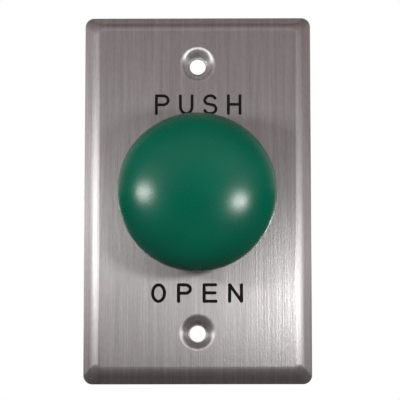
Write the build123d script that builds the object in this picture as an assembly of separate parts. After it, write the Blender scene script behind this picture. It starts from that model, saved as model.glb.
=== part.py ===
from build123d import *

import os
from math import pi, radians, tan

# Mushroom push button on a single-gang wall plate, with one normally open and one normally
# closed contact block behind it. Shapes are drawn in millimetres with Z out of the wall towards
# the room, Y up and X to the right as seen from the room. Z = 0 is the wall plane and the button's
# axis is X = Y = 0. stand_up() turns the finished pieces so that Z is up and the room is at -Y.

# Wall plate, pressed from sheet into a shallow tray
plate_width = 69.85
plate_height = 114.3
plate_depth = 4.4
sheet = 0.9
outline_radius = 2.8
face_corner_radius = 2.6
skirt_height = 0.8
bevel_angle = 48.0
bend_radius = 4.0
lip_radius = 0.6

# Screw holes, each at the bottom of a pressed dimple
screw_spacing = 83.34
screw_hole_radius = 2.5
dimple_floor = 0.42
dimple_wall_angle = 68.0
dimple_bend = 2.1
dimple_root = 0.4
dimple_margin = 0.4

# Return spring and plunger, on the button's axis
press_travel = 4.5
plunger_radius = 6.0
running_gap = 0.06
stud_radius = 4.0
stud_length = 8.0
flute_depth = 2.4
flute_root = 1.3
foot_radius = 9.0
foot_thickness = 2.5
return_wire = 1.0
return_turns = 6
spring_gap = 0.85

# Bezel bushing that carries the plunger through the plate
gasket_thickness = 1.0
gasket_margin = 0.35
bezel_radius = 14.75
bezel_thickness = 2.8
bezel_edge = 1.2
shank_radius = 10.9
shank_length = 16.4
guide_length = 8.0
pocket_gap = 0.75
panel_gap = 0.3
key_width = 3.0
key_height = 1.0
seal_section = 1.7
seal_gap = 0.06
stop_gap = 0.05
thread_chamfer = 0.6

# Mushroom cap, moulded as a ribbed shell
cap_radius = 24.3
cap_lift = 8.4
cap_rim_height = 2.2
dome_height = 13.0
cap_wall = 2.4
cap_boss_radius = 10.0
cap_rib = 1.6
cap_ribs = 6
cap_edge = 0.7
insert_wall = 2.0
insert_length = 9.0
insert_groove = 0.5
thread_gap = 0.05
moulding_gap = 0.03

# Washer and nut behind the plate
washer_thickness = 0.7
washer_radius = 14.2
washer_teeth = 12
nut_across_flats = 27.0
nut_thickness = 3.4
nut_corner_radius = 15.1
nut_chamfer = 0.7

# Collar that clamps on the bushing and carries the contact blocks
collar_gap = 2.4
collar_side_margin = 2.85
collar_height = 31.0
collar_corner = 6.0
flange_height = 37.0
flange_thickness = 5.2
flange_corner = 2.0
foot_clearance = 0.2
cavity_gap = 0.6
grip_radius = 5.0
grip_depth = 1.6
clamp_screw_radius = 2.0
clamp_groove_depth = 0.7
clamp_groove_width = 4.4
clamp_setback = 4.0
clamp_tip_gap = 0.05
pan_head_radius = 3.2
pan_head_height = 2.2
recess_width = 0.8
recess_depth = 1.2

# Contact blocks: half shells that are open on one side, with a flat cover
block_width = 12.0
block_gap = 0.3
block_wall = 1.2
chamber_height = 22.0
corner_cut = 1.8
chamber_cut = 1.0
shoulder_step = 5.4
slider_width_gap = 0.1
slider_height = 6.8
guide_rib = 1.0
guide_rib_reach = 2.1
slider_head_width = 5.6
slider_head_height = 4.8
head_gap = 0.15
shoulder_gap = 0.2
slider_web = 1.4
slider_spring_solid = 3.3
spigot_radius = 1.7
spigot_length = 1.2
pin_radius = 1.0
pin_proud = 0.3
pin_gap = 0.05
hook_width = 6.0
hook_thickness = 1.5
hook_gap = 0.2
hook_catch = 1.2
hook_barb = 1.7
hook_seat_gap = 0.1

# Bridges, fixed contacts and terminals
contact_gap = 3.0
bar_thickness = 1.0
bar_width = 4.0
bar_reach = 8.9
contact_reach = 7.2
contact_radius = 1.3
contact_height = 0.6
contact_touch = 0.02
contact_spring_length = 3.8
contact_wire = 0.4
contact_coil = 1.5
contact_turns = 4
slider_wire = 0.5
slider_coil = 2.35
slider_turns = 6
strip_thickness = 1.0
strip_width = 6.4
strip_tip = 5.2
strip_end_gap = 0.3
strip_slot_gap = 0.05
nc_strip_setback = 4.6
leg_gap = 0.1
tapped_radius = 2.8
tapped_height = 2.2
seat_hole_gap = 0.1
seat_hole_depth = 5.8
terminal_screw_radius = 1.7
terminal_bore_gap = 0.05
terminal_screw_length = 7.5
terminal_head_radius = 3.1
terminal_head_height = 2.4
clamp_size = 6.4
clamp_thickness = 1.2
clamp_corner = 0.6
clamp_margin = 0.8

# Levels along the axis, worked out from the sizes above
bend = radians(bevel_angle)
bevel_width = (plate_depth - skirt_height) / tan(bend)
plate_back = plate_depth - sheet
gasket_front = plate_depth + gasket_thickness
bezel_front = gasket_front + bezel_thickness
shank_end = gasket_front - shank_length
pocket_floor = shank_end + guide_length
boss_face = bezel_front + press_travel + stop_gap
cap_rim = plate_depth + cap_lift
dome_base = cap_rim + cap_rim_height
foot_rear = shank_end - foot_thickness
washer_rear = plate_back - washer_thickness
nut_rear = washer_rear - nut_thickness
collar_front = nut_rear - collar_gap
block_front = foot_rear - press_travel - foot_clearance
flange_front = block_front + flange_thickness
clamp_level = collar_front - clamp_setback

# Radii and half widths that several pieces share
panel_radius = shank_radius + panel_gap
bore_radius = plunger_radius + running_gap
coil_radius = plunger_radius + spring_gap + return_wire / 2
pocket_radius = coil_radius + return_wire / 2 + pocket_gap
insert_radius = stud_radius + insert_wall
seal_centre = bore_radius + seal_gap / 4 + seal_section / 2
seal_level = shank_end + guide_length / 2
clamp_groove_radius = shank_radius - clamp_groove_depth
side = block_width / 2
chamber_side = side - block_wall
cover_face = side - block_wall
end_wall = chamber_height / 2 + block_wall
block_top = max(flange_height / 2 + hook_gap + hook_thickness, end_wall + clamp_size + 2 * clamp_margin)
screw_level = (end_wall + block_top) / 2
block_offset = (block_width + block_gap) / 2
collar_width = 2 * (block_offset + side + collar_side_margin)

# Depths behind the front face of a contact block
slider_front = block_wall + shoulder_gap
overtravel = press_travel - contact_gap
no_bar = slider_front + slider_web + contact_spring_length
terminal_face = no_bar + bar_thickness + contact_height + contact_gap + contact_height
nc_bar = nc_strip_setback + strip_thickness + contact_height + contact_touch + contact_height
slider_rear = nc_bar + bar_thickness + contact_spring_length + slider_web
chamber_rear = slider_rear + press_travel + slider_spring_solid
block_depth = chamber_rear + block_wall
shoulder_depth = terminal_face + strip_thickness + shoulder_step
clamp_front = terminal_face + strip_thickness
head_seat = clamp_front + clamp_thickness


def behind(depth):
    """Z of a plane that lies depth behind the front face of the contact blocks."""
    return block_front - depth


def brick(x, y, z):
    """Box that fills the ranges x, y and z, each given as two ends in any order."""
    spans = [sorted(pair) for pair in (x, y, z)]
    middle = [(low + high) / 2 for low, high in spans]
    return Pos(*middle) * Box(*[high - low for low, high in spans])


def rod(radius, low, high):
    """Solid round bar on the Z axis between two levels."""
    return Pos(0, 0, (low + high) / 2) * Cylinder(radius, abs(high - low))


def ring(inner, outer, low, high):
    """Plain ring on the Z axis between two levels."""
    return rod(outer, low, high) - rod(inner, low - 1, high + 1)


def corner_of(shape, x, y):
    """The vertex of a flat shape that is nearest to a point."""
    return shape.vertices().sort_by_distance((x, y, 0))[0]


def turned(points, rounds=(), bevels=()):
    """Solid of revolution about Z from (radius, level) points.

    rounds and bevels name corners of the profile as (radius, level, size).
    """
    profile = make_face(Polyline(*points, close=True))
    for x, y, size in rounds:
        profile = fillet(corner_of(profile, x, y), size)
    for x, y, size in bevels:
        profile = chamfer(corner_of(profile, x, y), size)
    return revolve(Plane.XZ * profile, Axis.Z)


def side_plate(points, low, high):
    """Plate across X between low and high, from its (y, z) outline."""
    outline = make_face(Polyline(*points, close=True))
    return Pos(low, 0, 0) * extrude(Plane.YZ * outline, high - low)


def coil(mean_radius, wire, low, high, turns):
    """Compression spring of round wire that reaches from one seat level to the other."""
    rise = high - low - wire
    path = Helix(pitch=rise / turns, height=rise, radius=mean_radius)
    start = Plane(origin=path @ 0, z_dir=path % 0)
    return Pos(0, 0, low + wire / 2) * sweep(start * Circle(wire / 2), path=path, is_frenet=True)


def both_ends(piece):
    """The piece at the top of a block and its mirror image at the bottom."""
    return [piece, mirror(piece, about=Plane.XZ)]


# Wall plate

def tray(offset):
    """Solid filled up to the plate's outer skin, or to a skin that lies offset inside it."""
    knee = skirt_height - offset * tan((pi / 2 - bend) / 2)
    shift = offset * tan(bend / 2)
    top = plate_depth - offset
    outline = RectangleRounded(
        plate_width - 2 * offset, plate_height - 2 * offset, outline_radius - offset
    )
    face = RectangleRounded(
        plate_width - 2 * (bevel_width + shift),
        plate_height - 2 * (bevel_width + shift),
        face_corner_radius - shift,
    )
    slope = loft([Pos(0, 0, knee) * outline, Pos(0, 0, top) * face], ruled=True)
    body = extrude(outline, knee) + slope
    rim = body.edges().filter_by_position(Axis.Z, top - 0.01, top + 0.01)
    body = fillet(rim, bend_radius - offset)
    if offset == 0:
        edge = body.edges().filter_by_position(Axis.Z, knee - 0.01, knee + 0.01)
        body = fillet(edge, lip_radius)
    return body


def dimple():
    """Pressed cup round a screw hole: (its sheet metal, the radius that it takes up)."""
    wall = radians(dimple_wall_angle)
    root = screw_hole_radius + dimple_floor
    mouth = root + plate_back / tan(wall)
    shift = sheet * tan(wall / 2)
    reach = mouth + dimple_bend * tan(wall / 2) + dimple_margin
    profile = [
        (screw_hole_radius, 0),
        (screw_hole_radius, sheet),
        (root, sheet),
        (mouth, plate_depth),
        (reach, plate_depth),
        (reach, plate_back),
        (mouth + shift, plate_back),
        (root + shift, 0),
    ]
    rounds = [
        (root, sheet, dimple_root),
        (mouth, plate_depth, dimple_bend),
        (mouth + shift, plate_back, dimple_bend - sheet),
        (root + shift, 0, dimple_root + sheet),
    ]
    return turned(profile, rounds), reach


def wall_plate():
    """Stainless tray with a bevelled edge, a hole for the bushing and two dimpled screw holes."""
    plate = tray(0) - tray(sheet)
    plate -= rod(panel_radius, -1, plate_depth + 1)
    plate -= bushing_key(panel_gap, plate_back - 1, plate_depth + 1)
    cup, reach = dimple()
    for level in (-screw_spacing / 2, screw_spacing / 2):
        plate -= Pos(0, level, 0) * rod(reach, -1, plate_depth + 1)
        plate += Pos(0, level, 0) * cup
    return plate


# Button: cap, insert, plunger and return spring

def bushing_key(gap, low, high):
    """Key on top of the shank that stops the bushing turning, or the notch for it."""
    half = key_width / 2 + gap
    return brick((-half, half), (shank_radius - 1, shank_radius + key_height + gap), (low, high))


def dome(radius, height, base):
    """Solid under half an ellipse turned about the axis."""
    arc = EllipticalCenterArc((0, base), radius, height, start_angle=0, arc_size=90)
    floor = Polyline((0, base + height), (0, base), (radius, base))
    return revolve(Plane.XZ * make_face(arc + floor), Axis.Z)


def cap_filled(inset, low):
    """Solid filled up to the cap's outer skin, or to a skin that lies inset inside it."""
    return dome(cap_radius - inset, dome_height - inset, dome_base) + rod(
        cap_radius - inset, low, dome_base
    )


def mushroom_cap():
    """Domed cap: a shell with a boss in the middle and ribs between the boss and the wall."""
    outer = cap_filled(0, cap_rim)
    rim = outer.edges().filter_by_position(Axis.Z, cap_rim - 0.01, cap_rim + 0.01)
    outer = fillet(rim, cap_edge)
    boss = rod(cap_boss_radius, boss_face, dome_base + dome_height)
    lip = boss.edges().filter_by_position(Axis.Z, boss_face - 0.01, boss_face + 0.01)
    boss = chamfer(lip, cap_edge)
    hollow = cap_filled(cap_wall, cap_rim - 1) - boss
    for number in range(cap_ribs):
        rib = brick(
            (cap_boss_radius - 1, cap_radius),
            (-cap_rib / 2, cap_rib / 2),
            (cap_rim + cap_rim_height, dome_base + dome_height),
        )
        hollow -= Rot(0, 0, 360 * number / cap_ribs) * rib
    cap = outer + (boss & rod(cap_radius, boss_face - 1, dome_base)) - hollow
    return cap - rod(insert_radius + moulding_gap, boss_face - 1, boss_face + insert_length)


def cap_insert():
    """Brass thread insert in the cap's boss, with two grooves that lock it in the moulding."""
    insert = ring(stud_radius + thread_gap, insert_radius, boss_face, boss_face + insert_length)
    for share in (1 / 3, 2 / 3):
        level = boss_face + insert_length * share
        insert -= ring(
            insert_radius - insert_groove,
            insert_radius + 1,
            level - insert_groove,
            level + insert_groove,
        )
    return insert


def plunger():
    """Moulded plunger: threaded stud, fluted body, round guide and a foot that works the blocks."""
    body = turned(
        [
            (0, foot_rear),
            (foot_radius, foot_rear),
            (foot_radius, shank_end),
            (plunger_radius, shank_end),
            (plunger_radius, boss_face),
            (stud_radius, boss_face),
            (stud_radius, boss_face + stud_length),
            (0, boss_face + stud_length),
        ],
        bevels=[
            (foot_radius, foot_rear, thread_chamfer),
            (stud_radius, boss_face + stud_length, thread_chamfer),
        ],
    )
    flute_low = pocket_floor + press_travel + foot_clearance
    flute_high = boss_face - flute_depth
    for quarter in range(4):
        flute = brick(
            (flute_root, plunger_radius),
            (flute_root, plunger_radius),
            (flute_low, flute_high),
        )
        body -= Rot(0, 0, 90 * quarter) * flute
    return body


def return_spring():
    """Spring between the bottom of the bushing's pocket and the cap's boss."""
    return coil(coil_radius, return_wire, pocket_floor, boss_face, return_turns)


# Bushing and what clamps it to the plate

def bezel_bushing():
    """Bezel and threaded shank in one piece, bored for the plunger, its seal and its spring."""
    half_seal = seal_section / 2 + seal_gap
    seal_radius = seal_centre + half_seal
    half_groove = clamp_groove_width / 2
    body = turned(
        [
            (pocket_radius, pocket_floor),
            (pocket_radius, bezel_front),
            (bezel_radius, bezel_front),
            (bezel_radius, gasket_front),
            (shank_radius, gasket_front),
            (shank_radius, clamp_level + half_groove),
            (clamp_groove_radius, clamp_level + half_groove),
            (clamp_groove_radius, clamp_level - half_groove),
            (shank_radius, clamp_level - half_groove),
            (shank_radius, shank_end),
            (bore_radius, shank_end),
            (bore_radius, seal_level - half_seal),
            (seal_radius, seal_level - half_seal),
            (seal_radius, seal_level + half_seal),
            (bore_radius, seal_level + half_seal),
            (bore_radius, pocket_floor),
        ],
        rounds=[(bezel_radius, bezel_front, bezel_edge)],
        bevels=[
            (pocket_radius, bezel_front, bezel_edge / 2),
            (shank_radius, shank_end, thread_chamfer),
        ],
    )
    return body + bushing_key(0, plate_back + panel_gap, gasket_front)


def plunger_seal():
    """O-ring in the bushing's bore."""
    section = Pos(seal_centre, seal_level) * Circle(seal_section / 2)
    return revolve(Plane.XZ * section, Axis.Z)


def bezel_gasket():
    """Flat rubber ring between the bezel and the plate."""
    gasket = ring(panel_radius, bezel_radius - gasket_margin, plate_depth, gasket_front)
    return gasket - bushing_key(panel_gap, plate_depth - 1, gasket_front + 1)


def lock_washer():
    """Washer whose inner teeth grip the nut."""
    washer = ring(panel_radius, washer_radius, washer_rear, plate_back)
    notch_depth = (washer_radius - panel_radius) / 2
    notch_width = pi * panel_radius / washer_teeth
    for number in range(washer_teeth):
        notch = brick(
            (panel_radius - 1, panel_radius + notch_depth),
            (-notch_width / 2, notch_width / 2),
            (washer_rear - 1, plate_back + 1),
        )
        washer -= Rot(0, 0, 360 * number / washer_teeth) * notch
    return washer


def panel_nut():
    """Thin hexagon nut with chamfered corners."""
    hexagon = RegularPolygon(nut_across_flats / 2, 6, major_radius=False)
    blank = Pos(0, 0, nut_rear) * extrude(hexagon, nut_thickness)
    turning = turned(
        [
            (0, nut_rear),
            (nut_corner_radius, nut_rear),
            (nut_corner_radius, washer_rear),
            (0, washer_rear),
        ],
        bevels=[
            (nut_corner_radius, nut_rear, nut_chamfer),
            (nut_corner_radius, washer_rear, nut_chamfer),
        ],
    )
    return (blank & turning) - rod(shank_radius + thread_gap, nut_rear - 1, washer_rear + 1)


# Collar

def contact_collar():
    """Moulded collar: a clamp round the shank, a cavity for the foot and a flange for the blocks."""
    front = RectangleRounded(collar_width, collar_height, collar_corner)
    flange = RectangleRounded(collar_width, flange_height, flange_corner)
    body = Pos(0, 0, flange_front) * extrude(front, collar_front - flange_front)
    body += Pos(0, 0, block_front) * extrude(flange, flange_thickness)
    body -= rod(shank_radius + thread_gap, shank_end, collar_front + 1)
    body -= rod(foot_radius + cavity_gap, block_front - 1, shank_end)
    for direction in (-1, 1):
        grip = rod(grip_radius, flange_front, collar_front + 1)
        reach = collar_width / 2 + grip_radius - grip_depth
        body -= Pos(direction * reach, 0, 0) * grip
        bore = Pos(0, direction * collar_height / 2, clamp_level) * Rot(90, 0, 0)
        body -= bore * Cylinder(clamp_screw_radius + thread_gap, collar_height - bore_radius)
    return body


def crossed_recess(level):
    """Cross recess that is cut downwards from a screw head's top."""
    long = pan_head_radius
    floor = level - recess_depth
    across = brick((-long / 2, long / 2), (-recess_width / 2, recess_width / 2), (floor, level + 1))
    return across + Rot(0, 0, 90) * across


def pan_screw(shaft_radius, length, head_radius, head_height):
    """Pan head screw that points down, with the underside of its head at level 0."""
    screw = turned(
        [
            (0, -length),
            (shaft_radius, -length),
            (shaft_radius, 0),
            (head_radius, 0),
            (head_radius, head_height),
            (0, head_height),
        ],
        rounds=[(head_radius, head_height, head_height / 2)],
        bevels=[(shaft_radius, -length, shaft_radius / 3)],
    )
    return screw - crossed_recess(head_height)


def collar_screws():
    """Two clamp screws, above and below, whose tips stand in the bushing's groove."""
    seat = collar_height / 2
    length = seat - clamp_groove_radius - clamp_tip_gap
    screw = pan_screw(clamp_screw_radius, length, pan_head_radius, pan_head_height)
    placed = Pos(0, seat, clamp_level) * Rot(-90, 0, 0) * screw
    return both_ends(placed)


# Contact blocks, drawn about X = 0 with the cover on the +X side

def block_outline():
    """Side view of a block: a deep middle for the slider and lower shoulders for the terminals."""
    half = [
        (block_top, behind(0)),
        (block_top, behind(shoulder_depth - corner_cut)),
        (block_top - corner_cut, behind(shoulder_depth)),
        (end_wall, behind(shoulder_depth)),
        (end_wall, behind(block_depth - chamber_cut)),
        (end_wall - chamber_cut, behind(block_depth)),
    ]
    return half + [(-y, z) for y, z in reversed(half)]


def hook():
    """Snap hook at the top of a block, which holds on the front of the collar's flange."""
    outer = block_top
    inner = flange_height / 2 + hook_gap
    seat = flange_front + hook_seat_gap
    points = [
        (outer, behind(block_wall)),
        (outer, seat + hook_barb / 2),
        (inner, seat + hook_barb),
        (inner - hook_catch, seat + hook_barb / 4),
        (inner - hook_catch, seat),
        (inner, seat),
        (inner, behind(block_wall)),
    ]
    return side_plate(points, -hook_width / 2, hook_width / 2)


def cover_pins(radius, low, high):
    """Two pins along X, above and below the slider, that hold the cover."""
    pin = Pos((low + high) / 2, 0, 0) * Rot(0, 90, 0) * Cylinder(radius, high - low)
    level = behind(seat_hole_depth / 3)
    return [Pos(0, y, level) * pin for y in (-screw_level, screw_level)]


def guide_ribs(start, end):
    """Four ribs between two X planes that the slider runs between."""
    inner = slider_height / 2 + slider_width_gap
    depths = (behind(block_wall), behind(slider_rear + press_travel))
    return both_ends(brick((start, end), (inner, inner + guide_rib), depths))


def block_housing():
    """Half shell of a contact block, with the slider's chamber and a seat for each terminal."""
    back = -side
    body = side_plate(block_outline(), back, -chamber_side)
    walls = [
        (end_wall, behind(0)),
        (end_wall, behind(block_depth - chamber_cut)),
        (end_wall - chamber_cut, behind(block_depth)),
    ]
    walls += [(-y, z) for y, z in reversed(walls)]
    body += side_plate(walls, back, cover_face)
    body -= brick(
        (-chamber_side, side),
        (-chamber_height / 2, chamber_height / 2),
        (behind(block_wall), behind(chamber_rear)),
    )
    body += rod(spigot_radius, behind(chamber_rear), behind(chamber_rear - spigot_length))
    for rib in guide_ribs(-chamber_side, -chamber_side + guide_rib_reach):
        body += rib
    seat = brick((back, cover_face), (end_wall - 0.1, block_top), (behind(0), behind(terminal_face)))
    hole = Pos(0, screw_level, 0) * rod(
        tapped_radius + seat_hole_gap, behind(terminal_face + 1), behind(terminal_face - seat_hole_depth)
    )
    slot = brick(
        (-strip_width / 2 - strip_slot_gap, side),
        (chamber_height / 2 - 1, end_wall + 1),
        (behind(terminal_face), behind(clamp_front + strip_slot_gap)),
    )
    for piece in both_ends(seat - hole):
        body += piece
    for piece in both_ends(slot):
        body -= piece
    for piece in both_ends(hook()):
        body += piece
    for pin in cover_pins(pin_radius, cover_face - 1, side + pin_proud):
        body += pin
    head_half = slider_head_height / 2 + head_gap
    mouth = (-slider_head_width / 2 - head_gap, side)
    return body - brick(mouth, (-head_half, head_half), (behind(-1), behind(block_wall + 0.1)))


def block_cover():
    """Flat cover of a contact block, held by two pins, with the other pair of guide ribs."""
    cover = side_plate(block_outline(), cover_face, side)
    for rib in guide_ribs(cover_face - guide_rib_reach, cover_face):
        cover += rib
    for pin in cover_pins(pin_radius + pin_gap, cover_face - 1, side + 1):
        cover -= pin
    return cover


def slider(window_front, window_rear):
    """Slider that the plunger's foot pushes, with a window for the bridge and its spring."""
    half_width = chamber_side - slider_width_gap
    half_height = slider_height / 2
    body = brick(
        (-half_width, half_width), (-half_height, half_height), (behind(slider_front), behind(slider_rear))
    )
    body += brick(
        (-slider_head_width / 2, slider_head_width / 2),
        (-slider_head_height / 2, slider_head_height / 2),
        (behind(slider_front), foot_rear),
    )
    body += rod(spigot_radius, behind(slider_rear + spigot_length), behind(slider_rear))
    opening = bar_width / 2 + head_gap
    return body - brick(
        (-opening, opening), (-half_height - 1, half_height + 1), (behind(window_front), behind(window_rear))
    )


def bridge(bar_front, facing):
    """Moving bar with a contact near each end; facing is +1 for contacts on its rear side."""
    bar_rear = bar_front + bar_thickness
    bar = brick((-bar_width / 2, bar_width / 2), (-bar_reach, bar_reach), (behind(bar_front), behind(bar_rear)))
    face = bar_rear if facing > 0 else bar_front
    contact = rod(contact_radius, behind(face), behind(face + facing * contact_height))
    for y in (-contact_reach, contact_reach):
        bar += Pos(0, y, 0) * contact
    return bar


def fixed_contact(tip_front, facing):
    """Upper fixed contact: a strip from its tip in the chamber to a tapped hole for the screw."""
    half = strip_width / 2
    tip_rear = tip_front + strip_thickness
    outer_front = terminal_face
    outer_rear = terminal_face + strip_thickness
    leg_top = chamber_height / 2 - leg_gap
    leg_foot = leg_top - strip_thickness
    strip = brick(
        (-half, half), (leg_foot, block_top - strip_end_gap), (behind(outer_front), behind(outer_rear))
    )
    strip += brick((-half, half), (strip_tip, leg_top), (behind(tip_front), behind(tip_rear)))
    strip += brick((-half, half), (leg_foot, leg_top), (behind(tip_front), behind(outer_rear)))
    face = tip_rear if facing > 0 else tip_front
    contact = rod(contact_radius, behind(face), behind(face + facing * contact_height))
    strip += Pos(0, contact_reach, 0) * contact
    neck = rod(tapped_radius, behind(outer_rear), behind(outer_front - tapped_height))
    bore = rod(
        terminal_screw_radius + terminal_bore_gap, behind(outer_rear + 1), behind(outer_front - tapped_height - 1)
    )
    return strip + Pos(0, screw_level, 0) * neck - Pos(0, screw_level, 0) * bore


def terminal_screws():
    """Two terminal screws, seated on their clamp plates, with their heads to the rear."""
    screw = pan_screw(
        terminal_screw_radius, terminal_screw_length, terminal_head_radius, terminal_head_height
    )
    return both_ends(Pos(0, screw_level, behind(head_seat)) * Rot(180, 0, 0) * screw)


def clamp_plates():
    """Two square plates that press the wires on the fixed contacts."""
    square = RectangleRounded(clamp_size, clamp_size, clamp_corner)
    plate = Pos(0, screw_level, behind(head_seat)) * extrude(square, clamp_thickness)
    bore = rod(terminal_screw_radius + terminal_bore_gap, behind(head_seat + 1), behind(clamp_front - 1))
    return both_ends(plate - Pos(0, screw_level, 0) * bore)


def contact_block(kind, window, bar_front, tip_front, moving_side, contact_spring):
    """The pieces of one contact block by name.

    window is the slider's opening as two depths and moving_side the side of the bridge that
    carries its contacts, +1 for the rear. contact_spring gives the spring's two seats as depths.
    """
    upper, lower = both_ends(fixed_contact(tip_front, -moving_side))
    pieces = {
        "block_housing": block_housing(),
        "block_cover": block_cover(),
        "slider": slider(*window),
        "slider_spring": coil(
            slider_coil, slider_wire, behind(chamber_rear), behind(slider_rear), slider_turns
        ),
        "bridge": bridge(bar_front, moving_side),
        "contact_spring": coil(
            contact_coil, contact_wire, behind(contact_spring[1]), behind(contact_spring[0]), contact_turns
        ),
        "upper_contact": upper,
        "lower_contact": lower,
        "terminal_screws": terminal_screws(),
        "clamp_plates": clamp_plates(),
    }
    return {f"{kind}_{name}": piece for name, piece in pieces.items()}


def normally_open_block():
    """Block whose bridge waits in front of the fixed contacts and closes when pressed."""
    window_front = slider_front + slider_web
    bar_rear = no_bar + bar_thickness
    pieces = contact_block(
        "no", (window_front, bar_rear), no_bar, terminal_face, 1, (window_front, no_bar)
    )
    return {name: shifted(piece, -block_offset, True) for name, piece in pieces.items()}


def normally_closed_block():
    """Block whose bridge touches the fixed contacts from behind and opens when pressed."""
    bar_rear = nc_bar + bar_thickness
    window = (nc_bar - overtravel, bar_rear + contact_spring_length)
    pieces = contact_block("nc", window, nc_bar, nc_strip_setback, -1, (bar_rear, window[1]))
    return {name: shifted(piece, block_offset, False) for name, piece in pieces.items()}


def shifted(piece, x, mirrored):
    """A piece, or each of a list, moved along X and turned over first where mirrored."""
    if isinstance(piece, list):
        return [shifted(one, x, mirrored) for one in piece]
    return Pos(x, 0, 0) * (mirror(piece, about=Plane.YZ) if mirrored else piece)


def stand_up(piece):
    """Turns a piece from Z towards the room to Z up; a list becomes one group of solids."""
    solids = piece if isinstance(piece, list) else [piece]
    return Compound(children=[Rot(90, 0, 0) * one for one in solids])


pieces = {
    "wall_plate": wall_plate(),
    "bezel_gasket": bezel_gasket(),
    "bezel_bushing": bezel_bushing(),
    "plunger_seal": plunger_seal(),
    "lock_washer": lock_washer(),
    "panel_nut": panel_nut(),
    "mushroom_cap": mushroom_cap(),
    "cap_insert": cap_insert(),
    "plunger": plunger(),
    "return_spring": return_spring(),
    "contact_collar": contact_collar(),
    "collar_screws": collar_screws(),
}
pieces.update(normally_open_block())
pieces.update(normally_closed_block())

os.makedirs("parts", exist_ok=True)
for name, piece in pieces.items():
    export_step(stand_up(piece), f"parts/{name}.step")
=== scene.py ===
"""Looks of a mushroom push button on a steel wall plate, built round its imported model.

Lengths in the classes are millimetres in the object's own terms: x to the right, up, and out of
the wall towards the room. place() turns such a point into the model's frame in metres.
"""
import logging
import math
from collections.abc import Iterator, Sequence
from dataclasses import dataclass, field
from enum import Enum

import bmesh
import bpy
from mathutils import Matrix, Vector


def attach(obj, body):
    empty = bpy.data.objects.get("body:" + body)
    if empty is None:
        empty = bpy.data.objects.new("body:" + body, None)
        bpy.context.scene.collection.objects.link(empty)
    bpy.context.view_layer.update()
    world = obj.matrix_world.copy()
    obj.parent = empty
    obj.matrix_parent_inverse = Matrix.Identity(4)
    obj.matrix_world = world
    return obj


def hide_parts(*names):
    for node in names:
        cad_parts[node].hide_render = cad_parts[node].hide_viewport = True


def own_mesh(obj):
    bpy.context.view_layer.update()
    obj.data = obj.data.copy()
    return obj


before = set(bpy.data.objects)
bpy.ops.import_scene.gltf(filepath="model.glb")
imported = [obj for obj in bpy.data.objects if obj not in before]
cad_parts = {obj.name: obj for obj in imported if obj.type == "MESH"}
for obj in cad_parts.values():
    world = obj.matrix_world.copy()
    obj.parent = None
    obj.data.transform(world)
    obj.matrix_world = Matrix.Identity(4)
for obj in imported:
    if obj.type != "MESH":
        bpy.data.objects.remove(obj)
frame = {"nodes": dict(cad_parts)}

log = logging.getLogger("push_button")

MM = 0.001

QUARTERS = ((1, 1), (-1, 1), (-1, -1), (1, -1))
SHARP_ANGLE = 35.0
CLOSED_GAP = 1e-6
TINT_LOW, TINT_HIGH = 0.35, 0.65
SPAN_LOW, SPAN_HIGH = 0.3, 0.7

Point = tuple[float, float]
Colour = tuple[float, float, float]
Loop = list[bmesh.types.BMVert]
Operand = bpy.types.NodeSocket | float


def place(x: float, up: float, out: float) -> Vector:
    """Turns a place on the wall into a point in the model's frame.

    Args:
        x: Millimetres to the right.
        up: Millimetres up.
        out: Millimetres out of the wall.

    Returns:
        The point in metres.
    """
    return Vector((x * MM, -out * MM, up * MM))


def arc(centre: Point, radii: Point, start: float, end: float, steps: int) -> list[Point]:
    """Points along an ellipse's arc.

    Args:
        centre: Middle of the ellipse.
        radii: Its two half axes.
        start: First angle in degrees, counted from the first axis.
        end: Last angle in degrees.
        steps: Number of chords.

    Returns:
        The points, both ends included.
    """
    turns = [math.radians(start + (end - start) * step / steps) for step in range(steps + 1)]
    return [
        (centre[0] + radii[0] * math.cos(turn), centre[1] + radii[1] * math.sin(turn))
        for turn in turns
    ]


def rounded(corners: Sequence[tuple[float, float, float]], steps: int) -> list[Point]:
    """Polyline through corners, each rounded with its own radius.

    Args:
        corners: (a, b, radius) triples; a radius of 0 keeps the corner sharp.
        steps: Number of chords in each rounded corner.

    Returns:
        The points of the rounded line.
    """
    line: list[Point] = []
    for index, (a, b, radius) in enumerate(corners):
        if radius == 0:
            line.append((a, b))
            continue
        here = Vector((a, b))
        back = (Vector(corners[index - 1][:2]) - here).normalized()
        ahead = (Vector(corners[index + 1][:2]) - here).normalized()
        half = back.angle(ahead) / 2
        middle = here + (back + ahead).normalized() * (radius / math.sin(half))
        first = here + back * (radius / math.tan(half)) - middle
        last = here + ahead * (radius / math.tan(half)) - middle
        sweep = first.angle_signed(last)
        for step in range(steps + 1):
            turn = -sweep * step / steps
            line.append((
                middle.x + first.x * math.cos(turn) - first.y * math.sin(turn),
                middle.y + first.x * math.sin(turn) + first.y * math.cos(turn),
            ))
    return line


class Skin(Enum):
    """Which side of a sheet a surface is."""

    FRONT = 1
    BACK = -1


class Block(Enum):
    """The two contact blocks, by the prefix of their nodes."""

    NORMALLY_OPEN = "no"
    NORMALLY_CLOSED = "nc"


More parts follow.
